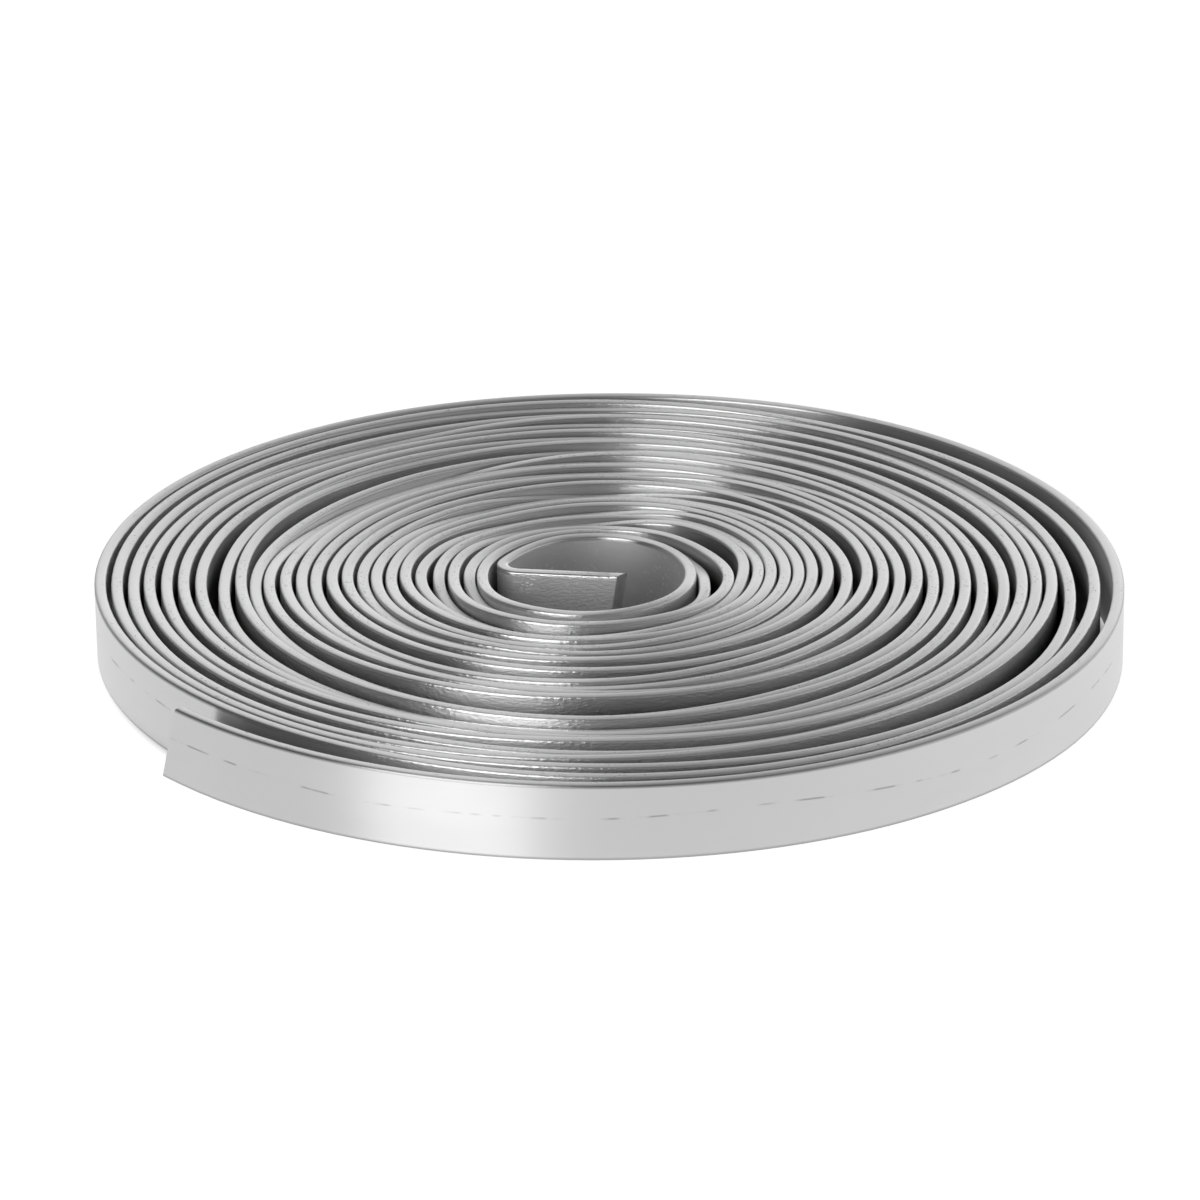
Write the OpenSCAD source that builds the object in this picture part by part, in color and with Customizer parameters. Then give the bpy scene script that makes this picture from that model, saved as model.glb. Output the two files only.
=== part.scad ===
// A loose coil of aluminium strip. The strip stands on its edge, winds clockwise outwards from a
// folded inner end, and ends in a tail that has sprung away from the last turn. It is one piece:
// every stretch of it is turned about its own centre, and meets the next stretch in line.

/* [Strip] */
// Width of the strip, which is the height of the coil
strip_w = 10; // [6:0.5:30]
// Thickness of the strip
strip_t = 1.5; // [0.8:0.1:4]
// Width of the flat crest along each rolled edge
edge_flat = 0.7; // [0.3:0.05:0.75]
// How far each edge's rounding runs down the strip's faces
edge_drop = 0.35; // [0.1:0.05:0.4]

/* [Coil] */
// Inside radius of the open eye
eye_r = 11.6; // [8:0.2:40]
// Usual gap between one turn and the next
turn_gap = 0.5; // [0.25:0.05:2]

/* [Inner end] */
// Inside radius of the fold
fold_r = 1.6; // [1:0.1:4]
// How far above the eye's left side the fold starts, in degrees round the eye
fold_start = 24; // [15:1:60]
// Angle that the strip turns through in the fold
fold_turn = 107; // [80:1:130]
// How much the fold draws each face of the strip in
fold_thinning = 0.03; // [0.02:0.01:0.08]
// Length of the straight stretch after the fold
end_len = 12.5; // [6:0.5:16]
// Slant of the inner end's cut through the thickness, with the face nearer the fold's middle
// the longer one below zero
end_slant = -38; // [-45:1:45]
// Lean of the inner end's cut, from upright
end_lean = 8; // [-20:1:20]

/* [Tail] */
// How much flatter the tail lies than the turn it leaves
tail_ease = 0.5; // [0:0.5:30]
// How far the tail runs past the front of the coil, in degrees
tail_turn = 50.5; // [20:0.5:60]
// Lean of the tail's cut, from upright
tail_lean = -15; // [-20:1:20]

/* [Hidden] */
$fn = 96;

// How loosely each turn lies at the right and left of the coil, from the eye outwards, as
// multiples of turn_gap. The last value on the left is what the tail heads for.
loose_right = [0.4, 3.2, 0.6, 0.8, 0.4, 0.6, 0.4, 0.4, 1.2, 1.6, 2.4, 1.0, 1.2,
               1.4, 1.0, 1.0, 1.2, 1.2, 2.4, 1.8, 0.6, 1.0, 0.8, 4.0, 3.0];
loose_left = [0.4, 0.4, 1.0, 0.8, 1.6, 0.8, 0.6, 0.8, 0.6, 0.8, 0.8, 1.0, 0.8,
              1.0, 1.0, 0.4, 1.0, 1.0, 3.0, 1.4, 1.4, 1.4, 0.8, 1.2, 1.4, 4.8];
turns = len(loose_right);

half_t = strip_t / 2;

// The edge is an arc about the strip's middle, which passes through both ends of its rounding
edge_mid = (edge_drop + (strip_t * strip_t - edge_flat * edge_flat) / (4 * edge_drop)) / 2;
edge_r = norm([edge_flat / 2, edge_mid]);

// Every place where two bends meet is kept to an even hundredth, so that the middle of each
// bend is a round number and its two ends meet their neighbours exactly
function even(x) = round(x * 50) / 50;

eye_path_r = even(eye_r + half_t);
fold_path_r = fold_r + half_t;

// Reach of the strip's middle from the eye's centre, after n turns
function total(list, n) = n <= 0 ? 0 : list[n - 1] + total(list, n - 1);
function right_reach(n) = even(eye_path_r + n * strip_t + turn_gap * total(loose_right, n));
function left_reach(n) = even(eye_path_r + n * strip_t + turn_gap * total(loose_left, n));

// The last half turn, and the tail that carries on from its front
last_mid = (right_reach(turns) - left_reach(turns + 1)) / 2;
last_r = (right_reach(turns) + left_reach(turns + 1)) / 2;
tail_mid_y = even(tail_ease);
tail_r = last_r + tail_mid_y;
back_r = (right_reach(turns) + left_reach(turns)) / 2;

// Middle of the whole coil's outline, from the eye's centre
coil_mid = [(right_reach(turns) - left_reach(turns)) / 2, (back_r - last_r) / 2];

// Section of the strip on its edge, before rolling flattens the crest of its two edges. It can
// be drawn in by a little all round.
module section(drawn_in = 0) {
    width = strip_t - 2 * drawn_in;
    intersection() {
        translate([-width / 2, -edge_r]) square([width, strip_w + 2 * edge_r]);
        union() {
            translate([-width / 2, edge_mid]) square([width, strip_w - 2 * edge_mid]);
            for (y = [edge_mid, strip_w - edge_mid]) translate([0, y]) circle(edge_r - drawn_in);
        }
    }
}

// A bent stretch of strip of radius r to its middle, which sets off from [r, 0]: counterclockwise,
// or clockwise where the turn is negative
module bend(r, turn, drawn_in = 0) {
    rotate_extrude(angle = turn) translate([r, 0]) section(drawn_in);
}

// A half turn between two places on the line through the eye's middle, at the back
module half_turn(x_left, x_right) {
    translate([(x_left + x_right) / 2, 0]) bend((x_right - x_left) / 2, 180);
}

// What a cut takes off, where the strip runs along +Y through the point [x, 0]
module cut_off(x, lean, slant) {
    size = 4 * (strip_w + strip_t);
    translate([x, 0, strip_w / 2]) rotate([-lean, 0, slant])
        translate([-size / 2, 0, -size / 2]) cube(size);
}

// The eye's back, the fold and the straight inner end
module inner_end() {
    eye_turn = 180 - fold_start;
    bend(eye_path_r, eye_turn);
    rotate(eye_turn) translate([eye_path_r - fold_path_r, 0]) {
        fold();
        rotate(fold_turn) straight_end();
    }
}

// The fold, from [fold_path_r, 0] round to the straight end. It is a little thinner than the
// strip on either side of it, and starts and ends just inside them.
module fold() {
    lap = 0.25 / fold_path_r * 180 / PI;
    rotate(-lap) bend(fold_path_r, fold_turn + 2 * lap, fold_thinning);
}

// The straight stretch, from the end of the fold along +Y to the cut
module straight_end() {
    difference() {
        translate([fold_path_r, 0]) rotate([90, 0, 180])
            linear_extrude(end_len + strip_w) section();
        translate([0, end_len]) cut_off(fold_path_r, end_lean, end_slant);
    }
}

// The last turn's front right quarter, and the tail that stands off from the turn inside it. The
// tail is turned a little further than it needs, for the cut to take off.
module tail() {
    spare_turn = 8;
    translate([last_mid, 0]) rotate(270) bend(last_r, 90);
    translate([last_mid, tail_mid_y]) difference() {
        rotate(270) bend(tail_r, -tail_turn - spare_turn);
        rotate(270 - tail_turn) mirror([0, 1, 0]) cut_off(tail_r, tail_lean, 0);
    }
}

// The whole strip, from its inner end to its tail
module coil() {
    inner_end();
    for (n = [0 : turns - 1]) {
        rotate(180) half_turn(-right_reach(n), left_reach(n + 1));
        half_turn(-left_reach(n + 1), right_reach(n + 1));
    }
    tail();
}

module aluminium_strip() {
    span = 4 * last_r;
    color("silver") intersection() {
        translate([-coil_mid[0], -coil_mid[1], 0]) coil();
        translate([-span / 2, -span / 2, 0]) cube([span, span, strip_w]);
    }
}

aluminium_strip();
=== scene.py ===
import math

import bpy
import numpy as np
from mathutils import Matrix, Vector


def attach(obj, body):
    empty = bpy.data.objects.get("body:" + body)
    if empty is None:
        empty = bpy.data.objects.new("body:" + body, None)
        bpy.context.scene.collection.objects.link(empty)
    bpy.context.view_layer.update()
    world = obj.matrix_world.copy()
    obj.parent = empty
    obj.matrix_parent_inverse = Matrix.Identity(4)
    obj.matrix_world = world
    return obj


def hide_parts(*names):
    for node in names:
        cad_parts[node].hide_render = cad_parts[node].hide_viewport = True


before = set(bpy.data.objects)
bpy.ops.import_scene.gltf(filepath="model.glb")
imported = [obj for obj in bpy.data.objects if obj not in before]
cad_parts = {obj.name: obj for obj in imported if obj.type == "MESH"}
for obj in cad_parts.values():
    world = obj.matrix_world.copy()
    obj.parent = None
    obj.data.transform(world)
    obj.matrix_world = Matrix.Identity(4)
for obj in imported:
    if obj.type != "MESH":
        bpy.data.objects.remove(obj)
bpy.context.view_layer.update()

MM = 0.001

# ---------------------------------------------------------------- the strip, in millimetres

STRIP_W = 10.0
STRIP_T = 1.5
EYE_R = 11.6
TURN_GAP = 0.5
FOLD_R = 1.6
FOLD_START = 24
FOLD_TURN = 107
END_LEN = 12.5
END_SLANT = -38
END_LEAN = 8
TAIL_EASE = 0.5
TAIL_TURN = 50.5
TAIL_LEAN = -15

# How loosely each turn lies at the right and the left, from the eye outwards, in turn gaps
LOOSE_RIGHT = [0.4, 3.2, 0.6, 0.8, 0.4, 0.6, 0.4, 0.4, 1.2, 1.6, 2.4, 1.0, 1.2,
               1.4, 1.0, 1.0, 1.2, 1.2, 2.4, 1.8, 0.6, 1.0, 0.8, 4.0, 3.0]
LOOSE_LEFT = [0.4, 0.4, 1.0, 0.8, 1.6, 0.8, 0.6, 0.8, 0.6, 0.8, 0.8, 1.0, 0.8,
              1.0, 1.0, 0.4, 1.0, 1.0, 3.0, 1.4, 1.4, 1.4, 0.8, 1.2, 1.4, 4.8]
TURNS = len(LOOSE_RIGHT)

# The coil isn't perfectly round: how far each turn reaches from the eye's middle, at bearings
# in degrees from the right, 90 at the back. The first number is the turn round the eye.
REACH = {
    30: [12.9, 14.4, 16.5, 20.6, 22.2, 23.7, 25.3, 26.9, 28.8, 30.6, 32.3, 35.7, 37.3,
         38.9, 41.2, 42.8, 44.8, 47.2, 49.0, 50.6, 54.0, 55.7, 57.6, 59.2, 62.5, 66.4],
    60: [13.7, 15.2, 16.8, 20.9, 22.5, 24.2, 25.8, 27.4, 29.0, 30.6, 33.2, 35.9, 37.4,
         39.0, 41.2, 42.8, 44.4, 47.4, 48.9, 50.5, 53.1, 56.1, 57.8, 59.5, 61.3, 65.7],
    90: [13.8, 15.3, 16.9, 18.6, 20.2, 22.6, 24.4, 26.0, 28.9, 30.6, 32.2, 34.4, 36.3,
         38.2, 40.8, 42.5, 45.3, 46.9, 48.9, 50.9, 54.2, 56.2, 58.0, 59.9, 61.6, 63.8],
    120: [13.5, 15.0, 16.6, 18.2, 19.5, 21.4, 23.2, 24.9, 27.6, 29.2, 30.8, 33.4, 35.0,
          36.6, 38.8, 40.3, 41.9, 46.3, 47.9, 49.7, 51.7, 54.0, 55.5, 59.4, 61.0, 63.0],
    150: [12.9, 14.4, 16.0, 18.2, 19.9, 21.6, 23.9, 25.5, 27.2, 28.9, 31.0, 32.6, 34.6,
          36.4, 38.0, 39.6, 41.3, 45.5, 47.1, 49.8, 52.0, 54.4, 56.0, 58.4, 60.8, 62.7],
    210: [14.1, 15.7, 17.9, 19.6, 21.2, 22.9, 25.5, 27.1, 28.6, 30.2, 32.3, 35.2, 36.9,
          38.5, 41.1, 43.6, 45.2, 48.4, 50.0, 51.7, 54.5, 56.1, 58.9, 60.5, 62.2, 66.6],
    240: [13.1, 14.9, 16.8, 18.7, 20.3, 21.9, 23.8, 25.5, 27.1, 28.6, 31.4, 34.7, 36.2,
          37.8, 40.0, 44.2, 45.8, 48.0, 49.6, 51.2, 53.7, 56.0, 58.8, 60.5, 62.3, 67.4],
    270: [12.5, 14.2, 15.9, 17.8, 19.4, 21.0, 22.6, 24.3, 25.9, 27.4, 30.7, 34.4, 35.9,
          37.5, 39.1, 44.3, 46.2, 48.1, 49.7, 51.3, 52.8, 56.5, 58.1, 60.8, 63.9, 67.0],
    300: [12.0, 14.1, 15.9, 17.7, 19.3, 20.9, 22.5, 24.2, 25.8, 27.4, 30.8, 33.3, 36.1,
          37.7, 39.3, 43.9, 45.5, 49.1, 50.7, 52.2, 53.8, 56.1, 57.7, 62.3, 64.5, 66.9],
    330: [12.1, 15.0, 16.9, 18.5, 20.2, 21.8, 23.5, 25.1, 26.9, 28.5, 32.0, 33.5, 36.0,
          38.7, 40.2, 43.8, 45.4, 48.1, 50.8, 52.8, 54.4, 56.2, 57.8, 62.4, 64.0, 67.1],
}

# How far some turns' edges have dropped below their neighbours' at those bearings
DROPPED = {
    0: {1: 0.5},
    30: {1: 1.3, 4: 0.4, 18: 0.3, 22: 0.7},
    60: {1: 0.8, 4: 0.4, 8: 0.4, 11: 0.9, 14: 0.7, 18: 0.5, 22: 0.7},
    90: {2: 0.3, 3: 0.6, 5: 0.8, 8: 1.0, 9: 1.6, 12: 0.6, 14: 0.8, 16: 1.1, 18: 0.5, 20: 0.7,
         22: 0.7, 23: 0.6},
    120: {3: 0.5, 5: 0.7, 8: 0.9, 14: 0.7, 15: 1.3, 17: 0.5, 21: 0.6, 23: 0.4},
    150: {14: 0.4, 15: 1.1},
    210: {1: 1.2, 3: 1.2, 4: 0.5, 7: 0.1, 8: 0.6, 11: 0.3, 12: 0.3, 15: 0.4, 17: 0.2},
    240: {1: 1.0, 3: 1.5, 4: 0.7, 6: 0.4, 7: 0.2, 8: 0.6, 11: 0.4, 12: 0.7, 15: 0.7, 17: 1.2,
          18: 0.6},
    270: {1: 1.0, 3: 1.1, 4: 0.5, 6: 0.4, 7: 0.5, 8: 0.6, 12: 0.4, 13: 0.3, 15: 0.8, 17: 1.1,
          18: 0.6, 19: 0.4, 21: 0.2},
    300: {1: 0.9, 3: 0.8, 7: 0.4, 8: 0.6, 13: 0.6, 15: 0.2, 17: 0.3, 18: 0.3, 19: 0.6, 21: 0.7},
    330: {1: 0.8, 3: 0.4, 8: 0.3, 13: 0.3, 19: 0.3, 21: 0.4, 23: 0.1},
}
BEARING_STEP = 30

EYE_PATH_R = EYE_R + STRIP_T / 2
FOLD_PATH_R = FOLD_R + STRIP_T / 2
RIGHT = [EYE_PATH_R + n * STRIP_T + TURN_GAP * sum(LOOSE_RIGHT[:n]) for n in range(TURNS + 1)]
LEFT = [EYE_PATH_R + n * STRIP_T + TURN_GAP * sum(LOOSE_LEFT[:n]) for n in range(TURNS + 2)]
LAST_R = (RIGHT[TURNS] + LEFT[TURNS + 1]) / 2
LAST_MID = (RIGHT[TURNS] - LEFT[TURNS + 1]) / 2
COIL_MID = np.array([(RIGHT[TURNS] - LEFT[TURNS]) / 2,
                     ((RIGHT[TURNS] + LEFT[TURNS]) / 2 - LAST_R) / 2])

RINGS_A_TURN = 144
END_RINGS = 24
FOLD_STEP = 6

# Neighbouring turns keep this far apart, and are pushed clear of each other this many times
CLEARANCE = 0.04
CLEARING_ROUNDS = 150

# The path keeps to the plain spiral before the first angle wound through, and again at the
# tail. Between them it takes these many degrees to ease into the turns' own reach.
PLAIN_UNTIL = -148
EASE_IN = 40
EASE_OUT = 60
PLAIN_TAIL = 60

# How far from each end its slanted cut is let out over, measured along the strip
START_CUT_RUN = 6
TAIL_CUT_RUN = 9


def turned(angle):
    """Unit vector at that many degrees from +X."""
    return np.array([math.cos(math.radians(angle)), math.sin(math.radians(angle))])


def bend_points(middle, radius, start, end, step):
    """Points and outward directions round one bend, without its last point."""
    count = max(1, round(abs(end - start) / step))
    return [(middle + radius * turned(a), turned(a))
            for a in np.linspace(start, end, count, endpoint=False)]


def strip_path():
    """The strip's middle line from the inner end to the tail, with the direction that its outer
    face looks in, and the number of places before the eye."""
    step = 360 / RINGS_A_TURN
    eye_turn = 180 - FOLD_START
    fold_mid = (EYE_PATH_R - FOLD_PATH_R) * turned(eye_turn)
    out = turned(eye_turn + FOLD_TURN)
    along = np.array([-out[1], out[0]])
    start = fold_mid + FOLD_PATH_R * out
    places = [(start + s * along, out) for s in np.linspace(END_LEN, 0, END_RINGS, endpoint=False)]
    places += bend_points(fold_mid, FOLD_PATH_R, eye_turn + FOLD_TURN, eye_turn, FOLD_STEP)
    inner = len(places)
    places += bend_points(np.zeros(2), EYE_PATH_R, eye_turn, 0, step)
    for n in range(TURNS):
        front = np.array([(RIGHT[n] - LEFT[n + 1]) / 2, 0])
        back = np.array([(RIGHT[n + 1] - LEFT[n + 1]) / 2, 0])
        places += bend_points(front, (RIGHT[n] + LEFT[n + 1]) / 2, 0, -180, step)
        places += bend_points(back, (RIGHT[n + 1] + LEFT[n + 1]) / 2, 180, 0, step)
    places += bend_points(np.array([LAST_MID, 0]), LAST_R, 0, -90, step)
    tail_end = -90 - TAIL_TURN
    tail_mid = np.array([LAST_MID, TAIL_EASE])
    places += bend_points(tail_mid, LAST_R + TAIL_EASE, -90, tail_end, step)
    places.append((tail_mid + (LAST_R + TAIL_EASE) * turned(tail_end), turned(tail_end)))
    middle = np.array([p for p, _ in places])
    outward = np.array([d for _, d in places])
    return middle, outward, inner


def smooth(values, passes):
    """Running average over three, with the ends kept."""
    values = values.copy()
    for _ in range(passes):
        values[1:-1] = 0.25 * values[:-2] + 0.5 * values[1:-1] + 0.25 * values[2:]
    return values


def wobble(rng, count, spacing, size):
    """Smooth random curve with a new value every so many rings."""
    knots = rng.normal(0, 1, count // spacing + 3)
    where = np.arange(count) / spacing
    return size * smooth(np.interp(where, np.arange(len(knots)), knots), spacing)


def stations():
    """Every place along the strip that the tables give, as the angle wound through since the
    eye's right, its reach, and how far the edge has dropped there."""
    wound = np.arange(-150, 360 * TURNS + 90, BEARING_STEP)
    reach, drop = [], []
    for at in wound:
        bearing = -at % 360
        turn = at // 360 + (0 < bearing < 180)
        if bearing == 0:
            reach.append(RIGHT[turn])
        elif bearing == 180:
            reach.append(LEFT[turn + 1])
        else:
            reach.append(REACH[bearing][turn])
        drop.append(DROPPED.get(bearing, {}).get(turn, 0.0))
    return wound, np.array(reach), np.array(drop)


def curve_through(at, values, where):
    """Smooth curve through evenly spaced values."""
    place = np.clip((where - at[0]) / (at[1] - at[0]), 0, len(at) - 1.001)
    first = place.astype(int)
    t = place - first
    padded = np.concatenate([values[:1], values, values[-1:]])
    a, b, c, d = (padded[first + k] for k in range(4))
    return b + 0.5 * t * (c - a + t * (2 * a - 5 * b + 4 * c - d + t * (3 * (b - c) + d - a)))


def settle(middle, inner):
    """How far each ring lies outside the plain spiral, and how far its top edge has dropped.
    Halfway up, neighbouring turns stay clear of each other. The inner end and the tail stay put."""
    rng = np.random.default_rng(7)
    count = len(middle)
    reach = np.hypot(*middle.T)
    angle = np.unwrap(np.arctan2(middle[:, 1], middle[:, 0]))
    wound = -np.degrees(angle - angle[inner]) - (180 - FOLD_START)
    wound[:inner] = wound[inner]
    at, target, low = stations()
    plain = np.interp(at, wound[inner:], reach[inner:])
    push = curve_through(at, target - plain, wound) + wobble(rng, count, spacing=17, size=0.04)
    drop = smooth(np.interp(wound, at, low), passes=8)
    hold = np.clip((wound - PLAIN_UNTIL) / EASE_IN, 0, 1)
    hold *= np.clip((wound[-1] - PLAIN_TAIL - wound) / EASE_OUT, 0, 1)
    push *= hold
    free = reach[RINGS_A_TURN:] - reach[:-RINGS_A_TURN] - STRIP_T - CLEARANCE
    for _ in range(CLEARING_ROUNDS):
        lack = np.clip(push[:-RINGS_A_TURN] - push[RINGS_A_TURN:] - free, 0, None)
        lack[:inner] = 0
        push[:-RINGS_A_TURN] -= lack / 2 * hold[:-RINGS_A_TURN]
        push[RINGS_A_TURN:] += lack / 2 * hold[RINGS_A_TURN:]
    return smooth(push, passes=2), drop * hold


def section():
    """The strip's outline on its edge, from the outer face's foot round: across and up. Both
    edges are gently crowned, with rounded shoulders."""
    shoulder = [(0.75, 0.45), (0.75, 0.27), (0.65, 0.12), (0.45, 0.04), (0.17, 0.0)]
    outer = shoulder[::-1] + [(x, STRIP_W - d) for x, d in shoulder]
    inner = [(-x, z) for x, z in outer[::-1]]
    return np.array(outer + inner)


def strip_rings():
    """Every ring's points, and where each lies along, through and up the strip. The strip leans
    a little to either side of upright, and its top edge dips a little."""
    middle, outward, inner = strip_path()
    push, drop = settle(middle, inner)
    middle = middle + outward * push[:, None] - COIL_MID
    count = len(middle)

    ahead = np.gradient(middle, axis=0)
    ahead /= np.hypot(*ahead.T)[:, None]
    across = np.stack([-ahead[:, 1], ahead[:, 0]], axis=1)
    across *= np.sign(np.sum(across * outward, axis=1))[:, None]
    run = np.concatenate([[0], np.cumsum(np.hypot(*np.diff(middle, axis=0).T))])

    outline = section()
    rng = np.random.default_rng(11)
    lean = wobble(rng, count, spacing=31, size=0.05)
    dip = drop + np.abs(wobble(rng, count, spacing=43, size=0.03))

    u, z = outline[:, 0], outline[:, 1]
    high = z / STRIP_W
    upright = z[None, :] - dip[:, None] * (high[None, :] > 0.5)
    side = u[None, :] + lean[:, None] * (high[None, :] - 0.5) * 2

    # the slant of both cuts, let out over the last few millimetres of the strip
    shift = np.zeros((count, len(u)))
    start_cut = -math.tan(math.radians(END_SLANT)) * u - math.tan(math.radians(END_LEAN)) * (z - STRIP_W / 2)
    end_cut = math.tan(math.radians(TAIL_LEAN)) * (z - STRIP_W / 2)
    shift += np.clip(1 - run / START_CUT_RUN, 0, 1)[:, None] * start_cut[None, :]
    shift += np.clip(1 - (run[-1] - run) / TAIL_CUT_RUN, 0, 1)[:, None] * end_cut[None, :]

    flat = middle[:, None, :] + across[:, None, :] * side[:, :, None]
    flat += ahead[:, None, :] * shift[:, :, None]
    points = np.dstack([flat, upright]) * MM
    place = np.dstack([run[:, None] + shift, np.broadcast_to(u, shift.shape),
                       np.broadcast_to(z, shift.shape)]) * MM
    return points, place


def strip_mesh():
    """The strip's skin, closed by a flat cut at each end."""
    points, place = strip_rings()
    count, ring = points.shape[:2]
    verts, place = points.reshape(-1, 3), place.reshape(-1, 3)
    faces = []
    for i in range(count - 1):
        for j in range(ring):
            k = (j + 1) % ring
            faces.append((i * ring + j, i * ring + k, (i + 1) * ring + k, (i + 1) * ring + j))

    # both sheared ends have edges of their own, so that they stay crisp
    caps = []
    for row in (0, count - 1):
        base = len(verts)
        verts = np.vstack([verts, verts[row * ring:(row + 1) * ring]])
        place = np.vstack([place, place[row * ring:(row + 1) * ring]])
        loop = list(range(base, base + ring))
        caps.append(loop if row else loop[::-1])
    mesh = bpy.data.meshes.new("strip")
    mesh.from_pydata(verts.tolist(), [], faces + caps)
    mesh.polygons.foreach_set("use_smooth", [True] * len(faces) + [False] * len(caps))
    mesh.polygons.foreach_set("material_index", [0] * len(faces) + [1] * len(caps))
    where = mesh.attributes.new("strip_place", "FLOAT_VECTOR", "POINT")
    where.data.foreach_set("vector", place.ravel())
    mesh.validate()
    mesh.update()
    return mesh


# ---------------------------------------------------------------- finishes

# Where the outermost turn starts along the strip, and where the roughened spot at the fold
# lies along, through and up it, in metres
LAST_TURN_FROM = 5.7
SCUFF_PLACE = (0.0113, 0.0008, 0.0087)


class Value:
    """A number that varies over a surface. Arithmetic on it adds nodes to its finish."""

    def __init__(self, finish, socket):
        self.finish = finish
        self.socket = socket

    def maths(self, operation, *values):
        return self.finish.node("ShaderNodeMath", {"operation": operation}, *values)

    def __add__(self, other):
        return self.maths("ADD", self, other)

    def __sub__(self, other):
        return self.maths("SUBTRACT", self, other)

    def __rsub__(self, other):
        return self.maths("SUBTRACT", other, self)

    def __mul__(self, other):
        return self.maths("MULTIPLY", self, other)

    def __abs__(self):
        return self.maths("ABSOLUTE", self)

    __radd__ = __add__
    __rmul__ = __mul__

    def ramp(self, low, high, out_low=0.0, out_high=1.0):
        """Eases from out_low at low to out_high at high."""
        return self.finish.node("ShaderNodeMapRange", {"interpolation_type": "SMOOTHSTEP"},
                                self, low, high, out_low, out_high)


class Finish:
    """A material, with one method that adds any node."""

    def __init__(self, name):
        self.material = bpy.data.materials.new(name)
        self.material.use_nodes = True
        self.tree = self.material.node_tree
        self.tree.nodes.clear()

    @classmethod
    def of_tree(cls, tree):
        made = cls.__new__(cls)
        made.tree = tree
        tree.nodes.clear()
        return made

    def node(self, kind, settings=None, *values, output=0, **named):
        added = self.tree.nodes.new(kind)
        for key, value in (settings or {}).items():
            setattr(added, key, value)
        for key, value in list(enumerate(values)) + list(named.items()):
            socket = added.inputs[key.replace("_", " ") if isinstance(key, str) else key]
            if isinstance(value, Value):
                self.tree.links.new(value.socket, socket)
            elif value is not None:
                socket.default_value = value
        return Value(self, added.outputs[output]) if len(added.outputs) else None

    def place(self):
        """Along, through and up the strip, in metres."""
        return self.node("ShaderNodeAttribute", {"attribute_name": "strip_place"}, output="Vector")

    def stretched(self, place, along, through, up):
        return self.node("ShaderNodeVectorMath", {"operation": "MULTIPLY"}, place, (along, through, up))

    def noise(self, vector, detail=2.0, roughness=0.5):
        return self.node("ShaderNodeTexNoise", {"noise_dimensions": "3D"}, Vector=vector, Scale=1.0,
                         Detail=detail, Roughness=roughness)

    def grey(self, value):
        return self.node("ShaderNodeCombineXYZ", None, value, value, value)

    def surface(self, shader):
        self.node("ShaderNodeOutputMaterial", None, Surface=shader)


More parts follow.
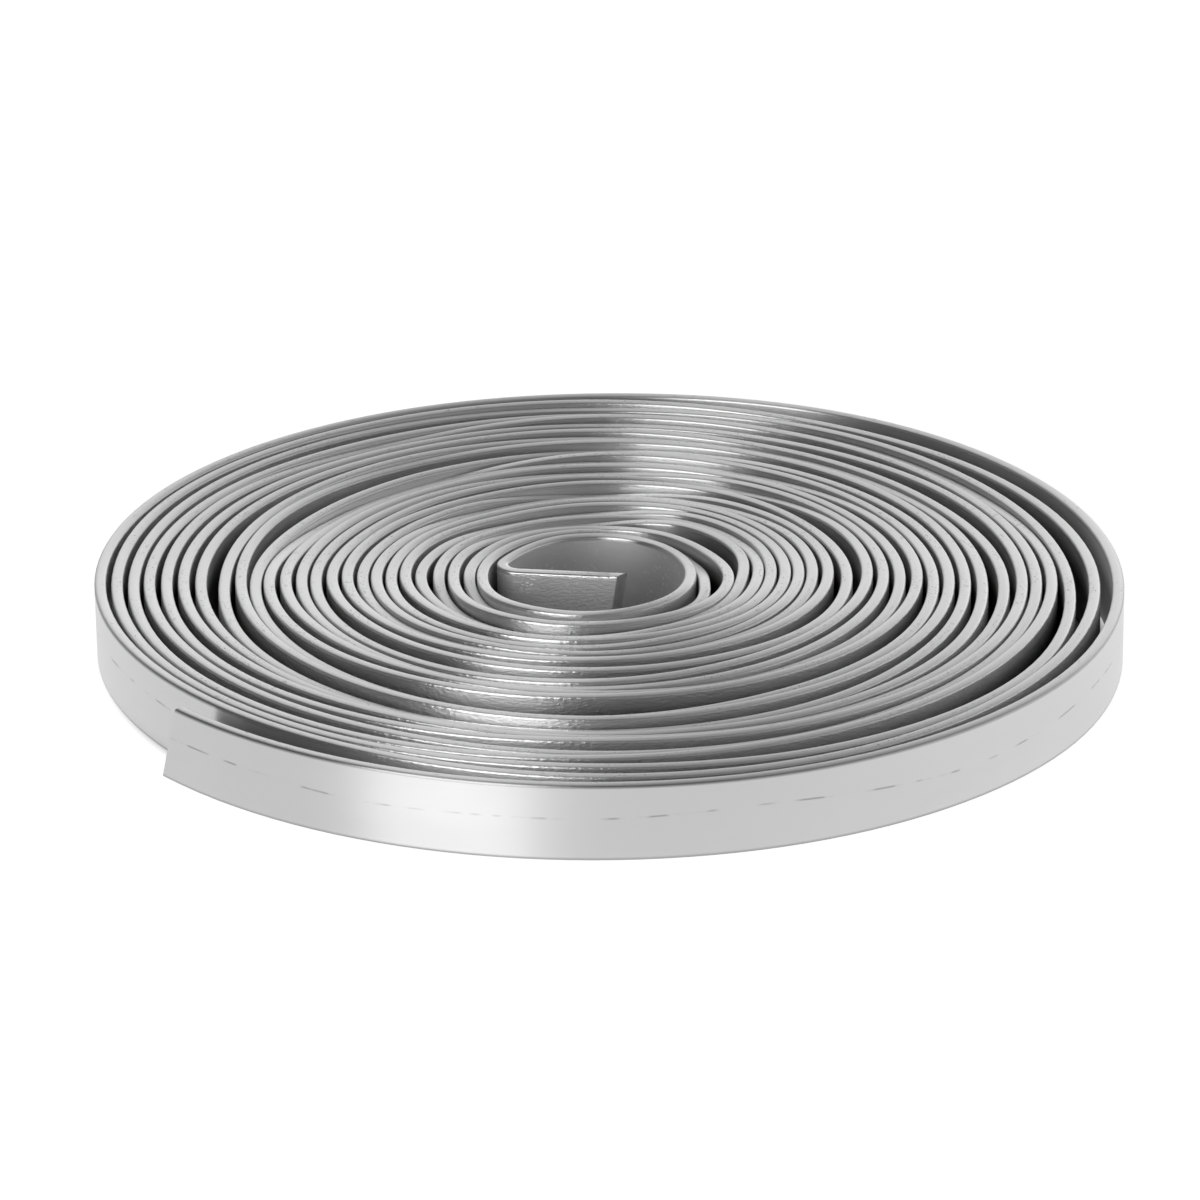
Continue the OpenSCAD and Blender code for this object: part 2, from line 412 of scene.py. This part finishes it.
def bare_aluminium(name, rolled=True):
    """Mill-finish strip: satin grey, rolled lengthwise, with fine grain, scuffs, nicks along its
    edges and thin scratches round the outermost turn. Its colour also carries painted shade:
    between the turns, on the shoulders, as a painted contact shadow at the feet, and on the eye's
    walls below their top edge."""
    f = Finish(name)
    place = f.place()
    along, through, up = (f.node("ShaderNodeSeparateXYZ", None, place, output=axis) for axis in "XYZ")
    outer = through.ramp(0.0003, 0.0007)
    inner = through.ramp(-0.0003, -0.0007)
    edge = 1 - outer - inner
    in_eye = along.ramp(0.10, 0.13, 1.0, 0.0)
    last_turn = along.ramp(LAST_TURN_FROM, LAST_TURN_FROM + 0.03)

    cloud = f.noise(f.stretched(place, 45, 700, 120), 2.0, 0.5)
    grain = f.noise(f.stretched(place, 2600, 9000, 6500), 1.0, 0.6)
    sparkle = f.noise(f.stretched(place, 1500, 3000, 3600), 1.0, 0.6)
    wave = f.noise(f.stretched(place, 150, 0, 0), 2.0, 0.5)
    speck = f.noise(f.stretched(place, 2300, 3400, 2600), 1.0, 0.5)
    patch = f.noise(f.stretched(place, 70, 300, 90), 1.0, 0.5)
    nicks = speck.ramp(0.64, 0.70) * patch.ramp(0.48, 0.60) * (1 - last_turn * 0.8)
    smudges = f.noise(f.stretched(place, 700, 1600, 900), 2.0, 0.6).ramp(0.58, 0.70)
    smudges = smudges * patch.ramp(0.40, 0.60)

    # thin dashes that drift up and down the middle of the outermost turn
    drift = f.noise(f.stretched(place, 18, 0, 0), 1.0, 0.5)
    dashes = f.noise(f.stretched(place, 210, 0, 0), 2.0, 0.5).ramp(0.47, 0.60)
    scratches = abs(up - 0.0032 - drift * 0.0045).ramp(0.00004, 0.00018, 1.0, 0.0)
    scratches = scratches * dashes * outer * last_turn

    # painted shade along both edges: the rounded shoulders are darkened to tone down their highlight lines,
    # and the foot of every face carries a painted contact shadow. Between the turns the faces darken
    # below their top edge, which is painted shade of the gaps
    painted_edge_shade = abs(through).ramp(0.00055, 0.00070) * up.ramp(0.0094, 0.0097) + up.ramp(0.0002, 0.0006, 1.0, 0.0)
    # painted shade: faces darken below their top edge between the turns, except on the outermost wall and in
    # the eye
    painted_gap_shade = up.ramp(0.0056, 0.0090, 0.66, 0.0) * (1 - last_turn * outer) * (1 - in_eye)

    base = 0.84 + (cloud - 0.5) * 0.08 - last_turn * outer * 0.23 - (nicks * 0.4 + smudges * 0.2) * edge
    # the base colour loses the painted edge shade and the painted gap shade here
    base = base - scratches * 0.18 - painted_edge_shade * 0.25 - painted_gap_shade - inner * 0.07
    base = base.maths("MAXIMUM", base, 0.03)
    rough = 0.34 + (cloud - 0.5) * 0.06 + scratches * 0.1
    height = grain * 0.2 + sparkle * (outer * 2.5 + inner * 0.6) * (1 - last_turn)
    height = height - nicks * 0.9 - scratches * 0.3
    height = height + wave * (1 - last_turn * 0.8) * (1 - edge) * 3.0
    bump = f.node("ShaderNodeBump", None, Strength=0.12, Distance=0.0002, Height=height)
    bright = f.node("ShaderNodeBsdfPrincipled", None, Base_Color=f.grey(base), Metallic=1.0,
                    Roughness=rough, Normal=bump, Anisotropic=0.88 if rolled else 0.0,
                    Anisotropic_Rotation=0.25)
    from_scuff = f.node("ShaderNodeVectorMath", {"operation": "DISTANCE"}, place, SCUFF_PLACE, output="Value")
    scuff = from_scuff.ramp(0.0004, 0.0022, 1.0, 0.0) * sparkle.ramp(0.50, 0.60)
    # painted shade: the eye's walls below their top edge take a darker, rougher finish, so that only their
    # top stays bright; the lighter scuff at the fold lies within it
    shaded_dull_base = 0.64 + (cloud - 0.5) * 0.14 + nicks * 0.16 + scuff * 0.35
    shaded_dull = f.node("ShaderNodeBsdfPrincipled", None, Base_Color=f.grey(shaded_dull_base), Metallic=1.0,
                  Roughness=0.62, Normal=bump)
    shaded_dull_part = in_eye * (1 - edge) * up.ramp(0.0093, 0.0096, 1.0, 0.0)
    f.surface(f.node("ShaderNodeMixShader", None, shaded_dull_part, bright, shaded_dull))
    return f.material


def shown_rays(f):
    """1 for what the eye, metal or glass sees directly, 0 for the light that falls on things."""
    path = ["Is Camera Ray", "Is Glossy Ray", "Is Transmission Ray"]
    first, second, third = [f.node("ShaderNodeLightPath", output=kind) for kind in path]
    return first.maths("MAXIMUM", first.maths("MAXIMUM", first, second), third)


# The floor's glow starts just inside the coil's edge, in metres from its middle; nearer the middle it is cut
# off, a painted shadow under the coil
PAINTED_SHADOW_R = 0.062
COIL_R = 0.0655


def floor_finish():
    """Plain white that glows round the coil. The glow fades out inside the coil's edge by distance from its
    middle, a painted shadow; under the coil the paint also takes its real shadow.
    """
    f = Finish("studio_floor")
    spot = f.node("ShaderNodeTexCoord", output="Object")
    reach = f.node("ShaderNodeVectorMath", {"operation": "LENGTH"}, spot, output="Value")
    paint = f.node("ShaderNodeBsdfDiffuse", None, Color=(0.8, 0.8, 0.8, 1))
    thin_paint = f.node("ShaderNodeBsdfDiffuse", None, Color=(0.4, 0.4, 0.4, 1))
    # painted shadow: the glow fades to nothing under the coil, by distance from its middle
    light = reach.ramp(PAINTED_SHADOW_R, COIL_R) * 0.87
    glow = f.node("ShaderNodeEmission", None, Color=f.grey(light), Strength=1.0)
    white = f.node("ShaderNodeAddShader", None, glow, thin_paint)
    f.surface(f.node("ShaderNodeMixShader", None, shown_rays(f), paint, white))
    return f.material


# ---------------------------------------------------------------- the strip in place

strip = bpy.data.objects.new("strip_coil", strip_mesh())
bpy.context.scene.collection.objects.link(strip)
strip.data.materials.append(bare_aluminium("aluminium_rolled"))
strip.data.materials.append(bare_aluminium("aluminium_sheared", rolled=False))
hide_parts("aluminium_strip")
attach(strip, "root")

# ---------------------------------------------------------------- studio

# Share of the walls' light that the room's ceiling gives
CEILING = 0.25
HALF_FLOOR = 3.0
FLOOR_CORNERS = [(-1, -1), (1, -1), (1, 1), (-1, 1)]
floor_mesh = bpy.data.meshes.new("floor")
floor_mesh.from_pydata([(x * HALF_FLOOR, y * HALF_FLOOR, 0) for x, y in FLOOR_CORNERS], [], [(0, 1, 2, 3)])
floor = bpy.data.objects.new("floor", floor_mesh)
bpy.context.scene.collection.objects.link(floor)
floor_mesh.materials.append(floor_finish())

world = bpy.data.worlds.new("studio")
bpy.context.scene.world = world
world.use_nodes = True
w = Finish.of_tree(world.node_tree)
direction = w.node("ShaderNodeTexCoord", output="Generated")
right, away, height = (w.node("ShaderNodeSeparateXYZ", None, direction, output=axis) for axis in "XYZ")
wall = height.ramp(0.15, 0.7, 1.0, CEILING) * away.ramp(-0.9, 0.1, 0.5, 1.0)
wall = wall * right.ramp(-0.9, 0.7, 0.40, 1.33)
w.node("ShaderNodeOutputWorld", None, Surface=w.node("ShaderNodeBackground", None, w.grey(wall), 1.0))


def softbox(name, azimuth, elevation, distance, size, power):
    """A square lamp that faces the coil. Azimuth 0 is the camera's side, and it grows to the left."""
    a, e = math.radians(azimuth), math.radians(elevation)
    spot = Vector((-math.sin(a) * math.cos(e), -math.cos(a) * math.cos(e), math.sin(e))) * distance
    lamp = bpy.data.lights.new(name, "AREA")
    lamp.shape = "RECTANGLE"
    lamp.size, lamp.size_y = size
    lamp.energy = power
    holder = bpy.data.objects.new(name, lamp)
    holder.location = spot
    holder.rotation_euler = spot.to_track_quat("Z", "Y").to_euler()
    bpy.context.scene.collection.objects.link(holder)


softbox("key_softbox", azimuth=30, elevation=23, distance=1.2, size=(0.75, 0.9), power=8.5)
softbox("back_softbox", azimuth=170, elevation=40, distance=1.3, size=(0.3, 0.8), power=0.5)

# ---------------------------------------------------------------- camera

SENSOR_WIDTH = 36
LENS = 277.8
DISTANCE = 1.178
TILT = 22.33
AIM = Vector((-0.0012, 0.00097, 0.0065))
camera_data = bpy.data.cameras.new("camera")
camera_data.sensor_width = SENSOR_WIDTH
camera_data.lens = LENS
camera = bpy.data.objects.new("camera", camera_data)
tilt = math.radians(TILT)
camera.location = AIM + DISTANCE * Vector((0, -math.cos(tilt), math.sin(tilt)))
camera.rotation_euler = (math.pi / 2 - tilt, 0, 0)
bpy.context.scene.collection.objects.link(camera)
bpy.context.scene.camera = camera

bpy.context.scene.view_settings.view_transform = "Standard"
